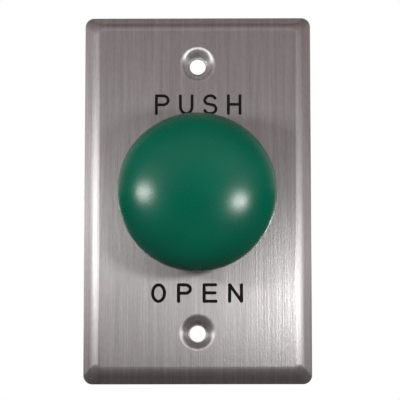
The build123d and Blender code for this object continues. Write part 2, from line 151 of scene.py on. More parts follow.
class MeshBuilder:
    """Collects rings of vertices and the faces between them."""

    def __init__(self) -> None:
        """Starts an empty mesh."""
        self.mesh = bmesh.new()

    def loop(self, points: Sequence[Vector]) -> Loop:
        """Adds a ring of vertices.

        Args:
            points: Where they are, in order.

        Returns:
            The vertices.
        """
        return [self.mesh.verts.new(point) for point in points]

    def bridge(self, first: Loop, second: Loop, closed: bool = True) -> None:
        """Joins two rings of the same length with quads.

        Args:
            first: One ring.
            second: The ring next to it.
            closed: Whether the last vertex joins the first one.
        """
        count = len(first)
        for index in range(count if closed else count - 1):
            after = (index + 1) % count
            self.mesh.faces.new((first[index], first[after], second[after], second[index]))

    def cap(self, ring: Loop) -> None:
        """Closes a ring with one face.

        Args:
            ring: The ring.
        """
        self.mesh.faces.new(ring)

    def fill(self, rings: Sequence[Loop]) -> None:
        """Fills the flat region inside the first ring and outside the others.

        Args:
            rings: The rings.
        """
        edges = []
        for ring in rings:
            for index, vertex in enumerate(ring):
                after = ring[(index + 1) % len(ring)]
                edge = self.mesh.edges.get((vertex, after))
                edges.append(edge or self.mesh.edges.new((vertex, after)))
        bmesh.ops.triangle_fill(self.mesh, use_beauty=True, use_dissolve=False, edges=edges)

    def finish(self, name: str, smooth_angle: float = SHARP_ANGLE) -> bpy.types.Object:
        """Makes an object of the mesh.

        Args:
            name: Name of the object.
            smooth_angle: Edges that turn by more than this, in degrees, stay sharp.

        Returns:
            The object, linked to the scene.
        """
        bmesh.ops.recalc_face_normals(self.mesh, faces=self.mesh.faces)
        data = bpy.data.meshes.new(name)
        self.mesh.to_mesh(data)
        self.mesh.free()
        data.shade_smooth()
        data.set_sharp_from_angle(angle=math.radians(smooth_angle))
        piece = bpy.data.objects.new(name, data)
        bpy.context.scene.collection.objects.link(piece)
        return piece


def settled(piece: bpy.types.Object) -> bpy.types.Object:
    """Applies a piece's modifiers, so that none is left on it.

    Args:
        piece: The piece.

    Returns:
        The same piece.
    """
    depsgraph = bpy.context.evaluated_depsgraph_get()
    data = bpy.data.meshes.new_from_object(piece.evaluated_get(depsgraph), depsgraph=depsgraph)
    piece.modifiers.clear()
    piece.data = data
    return piece


class NodeGraph:
    """A material's or world's node tree, with short ways to add and link nodes."""

    def __init__(self, tree: bpy.types.NodeTree) -> None:
        """Empties the tree.

        Args:
            tree: The node tree.
        """
        self.tree = tree
        tree.nodes.clear()

    def add(self, kind: str, **settings: object) -> bpy.types.Node:
        """Adds a node.

        Args:
            kind: The node's type, such as ShaderNodeMath.
            settings: Values for its attributes.

        Returns:
            The node.
        """
        node = self.tree.nodes.new(kind)
        for name, value in settings.items():
            setattr(node, name, value)
        return node

    def link(self, source: bpy.types.NodeSocket, target: bpy.types.NodeSocket) -> None:
        """Links an output to an input.

        Args:
            source: The output.
            target: The input.
        """
        self.tree.links.new(source, target)

    def maths(self, operation: str, first: Operand, second: Operand = 0.0) -> bpy.types.NodeSocket:
        """Adds a maths node.

        Args:
            operation: What it does, such as ADD.
            first: A socket or a number.
            second: A socket or a number.

        Returns:
            The result.
        """
        node = self.add("ShaderNodeMath", operation=operation)
        for index, value in enumerate((first, second)):
            if isinstance(value, bpy.types.NodeSocket):
                self.link(value, node.inputs[index])
            else:
                node.inputs[index].default_value = value
        return node.outputs[0]

    def blend(
        self, first: bpy.types.NodeSocket, second: bpy.types.NodeSocket, share: float
    ) -> bpy.types.NodeSocket:
        """Weighted mean of two values.

        Args:
            first: One value.
            second: The other value.
            share: Weight of the first, from 0 to 1.

        Returns:
            The mean.
        """
        weighted = self.maths("MULTIPLY", first, share), self.maths("MULTIPLY", second, 1 - share)
        return self.maths("ADD", *weighted)

    def half(self, value: bpy.types.NodeSocket) -> bpy.types.NodeSocket:
        """Maps a part of a unit vector from -1 .. 1 to 0 .. 1.

        Args:
            value: The part.

        Returns:
            The mapped value.
        """
        node = self.add("ShaderNodeMath", operation="MULTIPLY_ADD")
        self.link(value, node.inputs[0])
        node.inputs[1].default_value = 0.5
        node.inputs[2].default_value = 0.5
        return node.outputs[0]

    def smooth_step(
        self, value: bpy.types.NodeSocket, edges: Point, ends: Point = (0.0, 1.0)
    ) -> bpy.types.NodeSocket:
        """Turns a value into a soft step.

        Args:
            value: The value.
            edges: Where the step starts and ends.
            ends: What it gives before and after.

        Returns:
            The step's result.
        """
        node = self.add("ShaderNodeMapRange", interpolation_type="SMOOTHSTEP")
        for name, number in zip(("From Min", "From Max", "To Min", "To Max"), (*edges, *ends)):
            node.inputs[name].default_value = number
        self.link(value, node.inputs["Value"])
        return node.outputs["Result"]

    def parts(self, output: str) -> bpy.types.bpy_prop_collection:
        """Splits one of the texture coordinates into its three parts.

        Args:
            output: Which coordinate, such as Normal.

        Returns:
            The outputs X, Y and Z.
        """
        place_node = self.add("ShaderNodeTexCoord")
        axes = self.add("ShaderNodeSeparateXYZ")
        self.link(place_node.outputs[output], axes.inputs["Vector"])
        return axes.outputs

    def noise(self, scale: tuple[float, float, float], detail: float = 2.0) -> bpy.types.NodeSocket:
        """Adds a noise in the piece's own space.

        Args:
            scale: Noise cells in a metre along each axis.
            detail: Number of finer layers.

        Returns:
            The noise's value.
        """
        place_node = self.add("ShaderNodeTexCoord")
        mapping = self.add("ShaderNodeMapping")
        mapping.inputs["Scale"].default_value = scale
        self.link(place_node.outputs["Object"], mapping.inputs["Vector"])
        noise = self.add("ShaderNodeTexNoise")
        noise.inputs["Scale"].default_value = 1.0
        noise.inputs["Detail"].default_value = detail
        self.link(mapping.outputs["Vector"], noise.inputs["Vector"])
        return noise.outputs["Fac"]

    def ramp(
        self, value: bpy.types.NodeSocket, stops: Sequence[tuple[float, Colour]]
    ) -> bpy.types.NodeSocket:
        """Turns a value into a colour.

        Args:
            value: The value, from 0 to 1.
            stops: (position, colour) pairs.

        Returns:
            The colour's socket.
        """
        node = self.add("ShaderNodeValToRGB")
        elements = node.color_ramp.elements
        while len(elements) < len(stops):
            elements.new(0.5)
        for element, (position, colour) in zip(elements, stops):
            element.position = position
            element.color = (*colour, 1.0)
        self.link(value, node.inputs["Fac"])
        return node.outputs["Color"]

    def tint(self, value: bpy.types.NodeSocket, dark: Colour, light: Colour) -> bpy.types.NodeSocket:
        """Turns a noise into a colour between two.

        Args:
            value: The noise.
            dark: Colour where it is low.
            light: Colour where it is high.

        Returns:
            The colour's socket.
        """
        return self.ramp(value, ((TINT_LOW, dark), (TINT_HIGH, light)))

    def span(self, value: bpy.types.NodeSocket, middle: float, swing: float) -> bpy.types.NodeSocket:
        """Spreads a noise over a range of numbers.

        Args:
            value: The noise.
            middle: Middle of the range.
            swing: How far the range goes to each side.

        Returns:
            The number's socket.
        """
        node = self.add("ShaderNodeMapRange")
        node.inputs["From Min"].default_value = SPAN_LOW
        node.inputs["From Max"].default_value = SPAN_HIGH
        node.inputs["To Min"].default_value = middle - swing
        node.inputs["To Max"].default_value = middle + swing
        self.link(value, node.inputs["Value"])
        return node.outputs["Result"]

    def bump(self, height: bpy.types.NodeSocket, relief: float) -> bpy.types.NodeSocket:
        """Turns a height from 0 to 1 into a normal.

        Args:
            height: The height.
            relief: What a height of 1 is in millimetres.

        Returns:
            The normal.
        """
        node = self.add("ShaderNodeBump")
        node.inputs["Strength"].default_value = 1.0
        node.inputs["Distance"].default_value = relief * MM
        self.link(height, node.inputs["Height"])
        return node.outputs["Normal"]


def principled(name: str) -> tuple[bpy.types.Material, NodeGraph, bpy.types.Node]:
    """Starts a material.

    Args:
        name: Name of the material.

    Returns:
        The material, its graph and its shader.
    """
    material = bpy.data.materials.new(name)
    material.use_nodes = True
    graph = NodeGraph(material.node_tree)
    shader = graph.add("ShaderNodeBsdfPrincipled")
    output = graph.add("ShaderNodeOutputMaterial")
    graph.link(shader.outputs["BSDF"], output.inputs["Surface"])
    return material, graph, shader


@dataclass(frozen=True)
class BrushedSteel:
    """Stainless sheet with an upright brushed grain; lengths in millimetres, tilts in degrees."""

    name: str = "brushed_stainless"
    dark: Colour = (0.415, 0.396, 0.396)
    light: Colour = (0.585, 0.566, 0.567)
    roughness: float = 0.344
    bend_roughness: float = 0.495
    bend_start: float = 1.9
    bend_end: float = 8.4
    anisotropy: float = 0.7
    metallic: float = 0.8
    streak_width: float = 0.3
    streak_length: float = 24.0
    scratch_length: float = 1.6
    band_width: float = 1.7
    band_length: float = 45.0
    line_share: float = 0.62
    streak_share: float = 0.65
    grain_height: float = 0.05

    def bend(self, graph: NodeGraph) -> bpy.types.NodeSocket:
        """Roughness, higher where the sheet turns away from its flat face.

        Args:
            graph: The material's graph.

        Returns:
            The roughness.
        """
        facing = graph.maths("ABSOLUTE", graph.parts("Normal")["Y"])
        edges = math.cos(math.radians(self.bend_start)), math.cos(math.radians(self.bend_end))
        return graph.smooth_step(facing, edges, (self.roughness, self.bend_roughness))

    def grain(
        self, graph: NodeGraph, width: float, length: float, detail: float
    ) -> bpy.types.NodeSocket:
        """A noise drawn out upright.

        Args:
            graph: The material's graph.
            width: Size of its cells across, in millimetres.
            length: Size of its cells upright.
            detail: Number of finer layers.

        Returns:
            The noise's value.
        """
        across, along = 1 / (width * MM), 1 / (length * MM)
        return graph.noise((across, along, along), detail)

    def across(self, graph: NodeGraph) -> bpy.types.NodeSocket:
        """Level direction in the surface, square to the grain.

        Args:
            graph: The material's graph.

        Returns:
            The direction.
        """
        surface = graph.add("ShaderNodeNewGeometry")
        level = graph.add("ShaderNodeVectorMath", operation="CROSS_PRODUCT")
        level.inputs[1].default_value = (0.0, 0.0, 1.0)
        graph.link(surface.outputs["Normal"], level.inputs[0])
        return level.outputs["Vector"]

    def build(self) -> bpy.types.Material:
        """Makes the material.

        Returns:
            The material.
        """
        material, graph, shader = principled(self.name)
        lines = self.grain(graph, self.streak_width, self.streak_length, 2.0)
        scratches = self.grain(graph, self.streak_width, self.scratch_length, 1.0)
        bands = self.grain(graph, self.band_width, self.band_length, 2.0)
        streaks = graph.blend(lines, scratches, self.line_share)
        mixed = graph.blend(streaks, bands, self.streak_share)
        graph.link(graph.tint(mixed, self.dark, self.light), shader.inputs["Base Color"])
        graph.link(self.bend(graph), shader.inputs["Roughness"])
        graph.link(graph.bump(streaks, self.grain_height), shader.inputs["Normal"])
        graph.link(self.across(graph), shader.inputs["Tangent"])
        shader.inputs["Metallic"].default_value = self.metallic
        shader.inputs["Anisotropic"].default_value = self.anisotropy
        return material


@dataclass(frozen=True)
class Mottled:
    """A finish whose colour and roughness vary a little over the surface; lengths in millimetres."""

    name: str
    colour: Colour
    shade: float = 0.9
    roughness: float = 0.32
    roughness_swing: float = 0.03
    texture_size: float = 0.35
    texture_height: float = 0.004
    cloud_ratio: float = 40.0
    cloud_detail: float = 2.0

    def mottled(self) -> tuple[bpy.types.Material, bpy.types.Node]:
        """Makes the material without what is particular to its kind.

        Returns:
            The material and its shader.
        """
        material, graph, shader = principled(self.name)
        cells = 1 / (self.texture_size * MM)
        fine = graph.noise((cells,) * 3, detail=3.0)
        clouds = graph.noise((cells / self.cloud_ratio,) * 3, detail=self.cloud_detail)
        darker = tuple(part * self.shade for part in self.colour)
        graph.link(graph.tint(clouds, darker, self.colour), shader.inputs["Base Color"])
        graph.link(graph.span(fine, self.roughness, self.roughness_swing), shader.inputs["Roughness"])
        graph.link(graph.bump(fine, self.texture_height), shader.inputs["Normal"])
        return material, shader


@dataclass(frozen=True)
class SatinPlastic(Mottled):
    """Moulded plastic or rubber with a satin skin."""

    specular: float = 0.5

    def build(self) -> bpy.types.Material:
        """Makes the material.

        Returns:
            The material.
        """
        material, shader = self.mottled()
        shader.inputs["Specular IOR Level"].default_value = self.specular
        return material


@dataclass(frozen=True)
class WorkedMetal(Mottled):
    """Plated, drawn or turned metal with fine tool marks."""

    shade: float = 0.82
    roughness: float = 0.3
    roughness_swing: float = 0.06
    texture_size: float = 0.25
    texture_height: float = 0.003
    cloud_ratio: float = 12.0
    cloud_detail: float = 3.0

    def build(self) -> bpy.types.Material:
        """Makes the material.

        Returns:
            The material.
        """
        material, shader = self.mottled()
        shader.inputs["Metallic"].default_value = 1.0
        return material


Finish = BrushedSteel | SatinPlastic | WorkedMetal

STEEL = BrushedSteel()
CAP_GREEN = SatinPlastic("satin_green_plastic", (0.0, 0.128, 0.073), roughness=0.27, specular=0.37)
INK = SatinPlastic(
    "engraving_fill", (0.003, 0.003, 0.004), roughness=0.6, texture_size=0.1, specular=0.2
)
RUBBER = SatinPlastic("black_rubber", (0.02, 0.02, 0.02), roughness=0.7, texture_height=0.01)
BLACK_PLASTIC = SatinPlastic("black_moulding", (0.022, 0.022, 0.024), roughness=0.42)
WHITE_PLASTIC = SatinPlastic("ivory_moulding", (0.66, 0.64, 0.57), roughness=0.38)
OPEN_GREEN = SatinPlastic("green_block_moulding", (0.02, 0.19, 0.06), roughness=0.4)
CLOSED_RED = SatinPlastic("red_block_moulding", (0.42, 0.025, 0.02), roughness=0.4)
SATIN_CHROME = WorkedMetal("satin_chrome", (0.66, 0.66, 0.67), shade=0.94, roughness=0.24)
ZINC = WorkedMetal("zinc_plating", (0.60, 0.62, 0.64), roughness=0.34)
SPRING_WIRE = WorkedMetal("spring_wire", (0.42, 0.42, 0.43), roughness=0.26)
BRASS = WorkedMetal("turned_brass", (0.62, 0.44, 0.16), roughness=0.3)
CONTACT_STRIP = WorkedMetal("contact_strip", (0.70, 0.50, 0.26), roughness=0.34)

NODE_FINISHES: dict[str, Finish] = {
    "bezel_gasket": RUBBER,
    "bezel_bushing": SATIN_CHROME,
    "plunger_seal": RUBBER,
    "lock_washer": ZINC,
    "panel_nut": ZINC,
    "mushroom_cap": CAP_GREEN,
    "cap_insert": BRASS,
    "plunger": WHITE_PLASTIC,
    "contact_collar": BLACK_PLASTIC,
    "collar_screws": ZINC,
    "no_block_housing": OPEN_GREEN,
    "no_block_cover": OPEN_GREEN,
    "nc_block_housing": CLOSED_RED,
    "nc_block_cover": CLOSED_RED,
}
BLOCK_FINISHES: dict[str, Finish] = {
    "slider": WHITE_PLASTIC,
    "bridge": CONTACT_STRIP,
    "upper_contact": CONTACT_STRIP,
    "lower_contact": CONTACT_STRIP,
    "terminal_screws": ZINC,
    "clamp_plates": ZINC,
}


class FinishShelf:
    """Builds each finish once and paints pieces with it."""

    def __init__(self) -> None:
        """Starts with no material built."""
        self.built: dict[str, bpy.types.Material] = {}

    def material(self, finish: Finish) -> bpy.types.Material:
        """The finish's material, built when first asked for.

        Args:
            finish: The finish.

        Returns:
            Its material.
        """
        if finish.name not in self.built:
            self.built[finish.name] = finish.build()
        return self.built[finish.name]

    def paint(self, piece: bpy.types.Object, *finishes: Finish) -> None:
        """Gives a piece its finishes, one for each material slot.

        Args:
            piece: The piece.
            finishes: The finishes, in the order of the slots.
        """
        piece.data.materials.clear()
        for finish in finishes:
            piece.data.materials.append(self.material(finish))


@dataclass
class Legend:
    """Plain engraved words, cut with a tapered round tool and filled with black; in millimetres."""

    depth: float = 0.26
    draft: float = 0.12
    proud: float = 0.3
    end_steps: int = 10
    bow_steps: int = 14

    def strokes(self, letter: str) -> list[list[Point]]:
        """Tool paths of a letter in a box one wide and one high.

        Args:
            letter: The letter.

        Returns:
            The paths; one that ends where it starts is a closed ring.
        """
        bow = self.bow_steps
        stem = [(0.0, 0.0), (0.0, 1.0)]
        bowl = [(0.0, 1.0), *arc((0.58, 0.745), (0.42, 0.255), 90, -90, bow), (0.0, 0.49)]
        upper = arc((0.5, 0.75), (0.47, 0.25), 25, 235, bow)
        lower = arc((0.5, 0.26), (0.5, 0.26), 55, -160, bow)
        paths = {
            "P": [stem, bowl],
            "U": [[(0.0, 1.0), *arc((0.5, 0.4), (0.5, 0.4), 180, 360, 2 * bow), (1.0, 1.0)]],
            "S": [upper + lower],
            "H": [stem, [(1.0, 0.0), (1.0, 1.0)], [(0.0, 0.51), (1.0, 0.51)]],
            "O": [arc((0.5, 0.5), (0.5, 0.5), 0, 360, 3 * bow)],
            "E": [
                stem,
                [(0.0, 1.0), (0.97, 1.0)],
                [(0.0, 0.51), (0.93, 0.51)],
                [(0.0, 0.0), (1.0, 0.0)],
            ],
            "N": [stem, [(0.0, 1.0), (1.0, 0.0)], [(1.0, 0.0), (1.0, 1.0)]],
        }
        return paths[letter]

    def outline(self, path: Sequence[Point], half: float) -> list[Point]:
        """Outline of a stroke with round ends.

        Args:
            path: The stroke's path.
            half: Half the stroke's width.

        Returns:
            The outline's points.
        """
        points = [Vector(point) for point in path]
        left, right = [], []
        for index, point in enumerate(points):
            before = points[max(index - 1, 0)]
            after = points[min(index + 1, len(points) - 1)]
            along = (after - before).normalized()
            left.append(point + half * Vector((-along.y, along.x)))
            right.append(point - half * Vector((-along.y, along.x)))
        ends = []
        for tip, inner in ((points[-1], points[-2]), (points[0], points[1])):
            turn = math.degrees(math.atan2(*reversed(tip - inner)))
            ends.append(arc(tuple(tip), (half, half), turn + 90, turn - 90, self.end_steps)[1:-1])
        return [tuple(p) for p in left] + ends[0] + [tuple(p) for p in reversed(right)] + ends[1]

    def ring(self, path: Sequence[Point], half: float) -> list[Point]:
        """One edge of a stroke along a closed path.

        Args:
            path: The path, whose last point repeats the first.
            half: Half the stroke's width, negative for the inner edge.

        Returns:
            The edge's points.
        """
        points = [Vector(point) for point in path[:-1]]
        count = len(points)
        shifted = []
        for index, point in enumerate(points):
            along = (points[(index + 1) % count] - points[index - 1]).normalized()
            shifted.append(tuple(point + half * Vector((along.y, -along.x))))
        return shifted

    def carve(self, builder: MeshBuilder, path: Sequence[Point], stroke: float, face: float) -> None:
        """Adds the solid that the tool removes along one path.

        Args:
            builder: Mesh to add to.
            path: Tool path in millimetres, as (x, up) points.
            stroke: Width of the stroke at the plate's face.
            face: Distance of that face from the wall.
        """
        slope = self.draft / self.depth
        levels = (
            (face + self.proud, stroke / 2 + slope * self.proud),
            (face - self.depth, stroke / 2 - self.draft),
        )
        rings = []
        closed = (Vector(path[0]) - Vector(path[-1])).length < CLOSED_GAP
        for out, half in levels:
            if closed:
                shapes = [self.ring(path, half), self.ring(path, -half)]
            else:
                shapes = [self.outline(path, half)]
            rings.append([builder.loop([place(x, up, out) for x, up in shape]) for shape in shapes])
        for top, bottom in zip(*rings):
            builder.bridge(top, bottom)
        for level in rings:
            if closed:
                builder.bridge(level[0], level[1])
            else:
                builder.cap(level[0])


@dataclass(frozen=True)
class LegendLine:
    """One line of the legend: its letters with their middles, and their size, in millimetres."""

    letters: tuple[tuple[str, float], ...]
    width: float
    height: float
    middle: float
    stroke: float

    def paths(self, legend: Legend) -> Iterator[list[Point]]:
        """The line's tool paths.

        Args:
            legend: The letters' shapes.

        Yields:
            Each path as (x, up) points.
        """
        for letter, centre in self.letters:
            for path in legend.strokes(letter):
                yield [
                    (centre + (x - 0.5) * self.width, self.middle + (up - 0.5) * self.height)
                    for x, up in path
                ]


@dataclass
class WallPlate:
    """Steel tray with dimpled screw holes and an engraved legend; millimetres and degrees."""

    width: float = 69.85
    height: float = 114.3
    depth: float = 4.4
    sheet: float = 0.9
    outline_radius: float = 2.8
    face_corner_radius: float = 2.6
    skirt: float = 0.8
    bevel_angle: float = 48.0
    bend_radius: float = 4.0
    lip_radius: float = 0.6
    screw_spacing: float = 83.34
    hole_radius: float = 2.5
    dimple_floor: float = 0.42
    dimple_wall_angle: float = 68.0
    dimple_bend: float = 2.1
    dimple_root: float = 0.4
    panel_radius: float = 11.2
    corner_steps: int = 14
    bend_steps: int = 14
    round_steps: int = 96
    legend: Legend = field(default_factory=Legend)
    lines: tuple[LegendLine, ...] = (
        LegendLine(
            (("P", -10.9), ("U", -3.5), ("S", 3.9), ("H", 11.3)),
            width=3.6, height=5.6, middle=29.0, stroke=0.9,
        ),
        LegendLine(
            (("O", -11.9), ("P", -4.0), ("E", 3.8), ("N", 11.6)),
            width=3.6, height=5.05, middle=-29.65, stroke=0.98,
        ),
    )

    def rectangle(self, inset: float, radius: float) -> list[Point]:
        """Rounded rectangle inside the plate's outline.

        Args:
            inset: How far inside it lies.
            radius: Its corners' radius.

        Returns:
            Its points as (x, up).
        """
        across, upright = self.width / 2 - inset - radius, self.height / 2 - inset - radius
        points = []
        for number, (x, up) in enumerate(QUARTERS):
            centre, start = (x * across, up * upright), 90 * number
            points += arc(centre, (radius, radius), start, start + 90, self.corner_steps)
        return points

    def section(self, skin: Skin) -> list[tuple[float, float, float]]:
        """Section of the rim from the wall to the flat face.

        Args:
            skin: Front or back of the sheet.

        Returns:
            (inset, out, corner radius) for each ring.
        """
        bend = math.radians(self.bevel_angle)
        offset = 0.0 if skin is Skin.FRONT else self.sheet
        shift = offset * math.tan(bend / 2)
        knee = self.skirt - offset * math.tan((math.pi / 2 - bend) / 2)
        run = (self.depth - self.skirt) / math.tan(bend) + shift
        top = self.depth - offset
        lip = self.lip_radius if skin is Skin.FRONT else 0.0
        inner = run + 2 * self.bend_radius
        corners = (
            (offset, 0.0, 0.0),
            (offset, knee, lip),
            (run, top, self.bend_radius - offset),
            (inner, top, 0.0),
        )
        first, last = self.outline_radius - offset, self.face_corner_radius - shift
        rings = []
        for inset, out in rounded(corners, self.bend_steps)[:-1]:
            share = (inset - offset) / (run - offset)
            radius = first + (last - first) * share if share < 1 else last - (inset - run)
            rings.append((inset, out, radius))
        return rings

    def cup(self) -> list[Point]:
        """Section of a dimple, from the front face round the hole to the back.

        Returns:
            Its points as (radius, out).
        """
        wall = math.radians(self.dimple_wall_angle)
        root = self.hole_radius + self.dimple_floor
        mouth = root + (self.depth - self.sheet) / math.tan(wall)
        shift = self.sheet * math.tan(wall / 2)
        far = mouth + shift + 2 * self.dimple_bend
        back = self.depth - self.sheet
        corners = (
            (far, self.depth, 0.0),
            (mouth, self.depth, self.dimple_bend),
            (root, self.sheet, self.dimple_root),
            (self.hole_radius, self.sheet, 0.0),
            (self.hole_radius, 0.0, 0.0),
            (root + shift, 0.0, self.dimple_root + self.sheet),
            (mouth + shift, back, self.dimple_bend - self.sheet),
            (far, back, 0.0),
        )
        return rounded(corners, self.bend_steps)[1:-1]

    def circle(self, radius: float, level: float, out: float) -> list[Vector]:
        """Ring of points round a screw hole or the button's axis.

        Args:
            radius: The ring's radius.
            level: Height of its middle.
            out: Its distance from the wall.

        Returns:
            The points.
        """
        ring = arc((0, level), (radius, radius), 0, 360, self.round_steps)[:-1]
        return [place(x, up, out) for x, up in ring]

    def blank(self) -> bpy.types.Object:
        """Makes the pressed sheet before engraving.

        Returns:
            The sheet.
        """
        builder = MeshBuilder()
        skins: dict[Skin, list[Loop]] = {}
        for skin in Skin:
            skins[skin] = [
                builder.loop([place(x, up, out) for x, up in self.rectangle(inset, radius)])
                for inset, out, radius in self.section(skin)
            ]
            for first, second in zip(skins[skin], skins[skin][1:]):
                builder.bridge(first, second)
        builder.bridge(skins[Skin.FRONT][0], skins[Skin.BACK][0])
        holes: dict[Skin, list[Loop]] = {Skin.FRONT: [], Skin.BACK: []}
        for level in (-self.screw_spacing / 2, self.screw_spacing / 2):
            rings = [builder.loop(self.circle(radius, level, out)) for radius, out in self.cup()]
            for first, second in zip(rings, rings[1:]):
                builder.bridge(first, second)
            holes[Skin.FRONT].append(rings[0])
            holes[Skin.BACK].append(rings[-1])
        front = builder.loop(self.circle(self.panel_radius, 0.0, self.depth))
        back = builder.loop(self.circle(self.panel_radius, 0.0, self.depth - self.sheet))
        builder.bridge(front, back)
        builder.fill([skins[Skin.FRONT][-1], *holes[Skin.FRONT], front])
        builder.fill([skins[Skin.BACK][-1], *holes[Skin.BACK], back])
        return builder.finish("steel_plate")

    def build(self, shelf: FinishShelf) -> bpy.types.Object:
        """Makes the plate with its legend cut in.

        Args:
            shelf: Where the finishes come from.

        Returns:
            The plate.
        """
        plate = self.blank()
        shelf.paint(plate, STEEL, INK)
        builder = MeshBuilder()
        for line in self.lines:
            for path in line.paths(self.legend):
                self.legend.carve(builder, path, line.stroke, self.depth)
        tool = builder.finish("engraving_tool")
        shelf.paint(tool, INK)
        cut = plate.modifiers.new("engraving", "BOOLEAN")
        cut.operation = "DIFFERENCE"
        cut.object = tool
        cut.solver = "EXACT"
        cut.use_self = True
        cut.material_mode = "TRANSFER"
        settled(plate)
        bpy.data.objects.remove(tool)
        plate.data.set_sharp_from_angle(angle=math.radians(SHARP_ANGLE))
        even = plate.modifiers.new("even_shading", "WEIGHTED_NORMAL")
        even.keep_sharp = True
        even.weight = 100
        settled(plate)
        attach(plate, "fixed")
        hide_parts("wall_plate")
        log.info("%s: %d faces", plate.name, len(plate.data.polygons))
        return plate


@dataclass
class CoilSpring:
    """Compression spring of round wire with closed coils at its ends; lengths in millimetres.

    keep is the share of its length that is left at the joint's limit; nothing in this script reads it.
    """

    node: str
    body: str
    centre: float
    wire: float
    mean_radius: float
    low: float
    high: float
    turns: float
    joint: str = ""
    fixed_end: float = 0.0
    keep: float = 1.0
    closed_turns: float = 0.9
    closed_pitch: float = 1.02
    wire_steps: int = 12
    turn_steps: int = 40

    def rise(self, turn: float) -> float:
        """Height of the wire's centre above the low seat.

        Args:
            turn: Turns from the wire's low end.

        Returns:
            The height.
        """
        total = self.turns + 2 * self.closed_turns
        free = self.high - self.low - self.wire
        pitch = self.wire * self.closed_pitch
        dead = pitch * self.closed_turns
        if turn < self.closed_turns:
            height = pitch * turn
        elif turn > total - self.closed_turns:
            height = free - pitch * (total - turn)
        else:
            height = dead + (free - 2 * dead) * (turn - self.closed_turns) / self.turns
        return self.wire / 2 + height

    def build(self, shelf: FinishShelf) -> bpy.types.Object:
        """Makes the spring and hangs it on its body; a spring with a joint gets a mesh of its own.

        Args:
            shelf: Where the finish comes from.

        Returns:
            The spring.
        """
        builder = MeshBuilder()
        total = self.turns + 2 * self.closed_turns
        steps = round(total * self.turn_steps)
        section = arc((0, 0), (self.wire / 2, self.wire / 2), 0, 360, self.wire_steps)[:-1]
        rings = []
        for step in range(steps + 1):
            turn = total * step / steps
            angle = 2 * math.pi * turn
            out = self.low + self.rise(turn)
            ring = []
            for radial, axial in section:
                radius = self.mean_radius + radial
                level = min(max(out + axial, self.low), self.high)
                x, up = radius * math.cos(angle), radius * math.sin(angle)
                ring.append(place(self.centre + x, up, level))
            rings.append(builder.loop(ring))
        for first, second in zip(rings, rings[1:]):
            builder.bridge(first, second)
        builder.cap(rings[0])
        builder.cap(rings[-1])
        spring = builder.finish(f"{self.node}_coil", smooth_angle=60)
        shelf.paint(spring, SPRING_WIRE)
        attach(spring, self.body)
        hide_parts(self.node)
        if self.joint:
            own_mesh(spring)
        log.info("%s: %.1f turns", spring.name, self.turns)
        return spring


@dataclass
class SpringSet:
    """The return spring and the four springs in the contact blocks.

    Depths in a block are counted from its front.
    """

    travel: float = 4.5
    contact_give: float = 1.5
    pocket_floor: float = -3.0
    boss_face: float = 12.75
    block_offset: float = 6.15
    block_front: float = -18.2
    slider_spring_depths: Point = (13.02, 20.82)
    open_window: Point = (2.8, 6.6)
    closed_window: Point = (7.82, 11.62)

    def springs(self) -> list[CoilSpring]:
        """Describes the five springs.

        Returns:
            The springs.
        """
        length = self.boss_face - self.pocket_floor
        springs = [
            CoilSpring(
                "return_spring", "fixed", centre=0.0, wire=1.0, mean_radius=7.35,
                low=self.pocket_floor, high=self.boss_face, turns=6.2,
                joint="button_press", fixed_end=self.pocket_floor, keep=(length - self.travel) / length,
            )
        ]
        front, rear = (self.block_front - depth for depth in self.slider_spring_depths)
        for block in Block:
            opens = block is Block.NORMALLY_OPEN
            prefix, centre = block.value, -self.block_offset if opens else self.block_offset
            window = self.open_window if opens else self.closed_window
            near, far = (self.block_front - depth for depth in window)
            springs.append(
                CoilSpring(
                    f"{prefix}_slider_spring", "fixed", centre, wire=0.5, mean_radius=2.35,
                    low=rear, high=front, turns=4.5,
                    joint=f"{prefix}_slide", fixed_end=rear,
                    keep=(front - rear - self.travel) / (front - rear),
                )
            )
            contact_spring = CoilSpring(
                f"{prefix}_contact_spring", f"{prefix}_pusher", centre, wire=0.4, mean_radius=1.5,
                low=far, high=near, turns=3.0,
            )
            if opens:
                contact_spring.joint = "no_slide"
                contact_spring.fixed_end = near
                contact_spring.keep = (near - far - self.contact_give) / (near - far)
            springs.append(contact_spring)
        return springs

    def build(self, shelf: FinishShelf) -> None:
        """Makes the springs.

        Args:
            shelf: Where the finish comes from.
        """
        for spring in self.springs():
            spring.build(shelf)


class CarriedNodes:
    """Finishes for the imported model's own pieces."""

    def dress(self, nodes: dict[str, bpy.types.Object], shelf: FinishShelf) -> None:
        """Paints every piece that is shown.

        Args:
            nodes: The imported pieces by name.
            shelf: Where the finishes come from.
        """
        finishes = dict(NODE_FINISHES)
        for block in Block:
            for part, finish in BLOCK_FINISHES.items():
                finishes[f"{block.value}_{part}"] = finish
        for name, finish in finishes.items():
            shelf.paint(nodes[name], finish)
            log.info("%s: %s", name, finish.name)


@dataclass(frozen=True)
class SoftBox:
    """An oval lamp near the button, in degrees, metres and watts; it faces the point aim."""

    name: str
    azimuth: float
    elevation: float
    distance: float
    width: float
    height: float
    power: float
    aim: tuple[float, float, float]

    def build(self) -> bpy.types.Object:
        """Makes the lamp.

        Returns:
            The lamp.
        """
        data = bpy.data.lights.new(self.name, "AREA")
        data.shape = "ELLIPSE"
        data.size = self.width
        data.size_y = self.height
        data.energy = self.power
        lamp = bpy.data.objects.new(self.name, data)
        lamp.location = direction(self.azimuth, self.elevation) * self.distance
        lamp.rotation_euler = (lamp.location - Vector(self.aim)).to_track_quat("Z", "Y").to_euler()
        lamp.visible_camera = False
        bpy.context.scene.collection.objects.link(lamp)
        return lamp


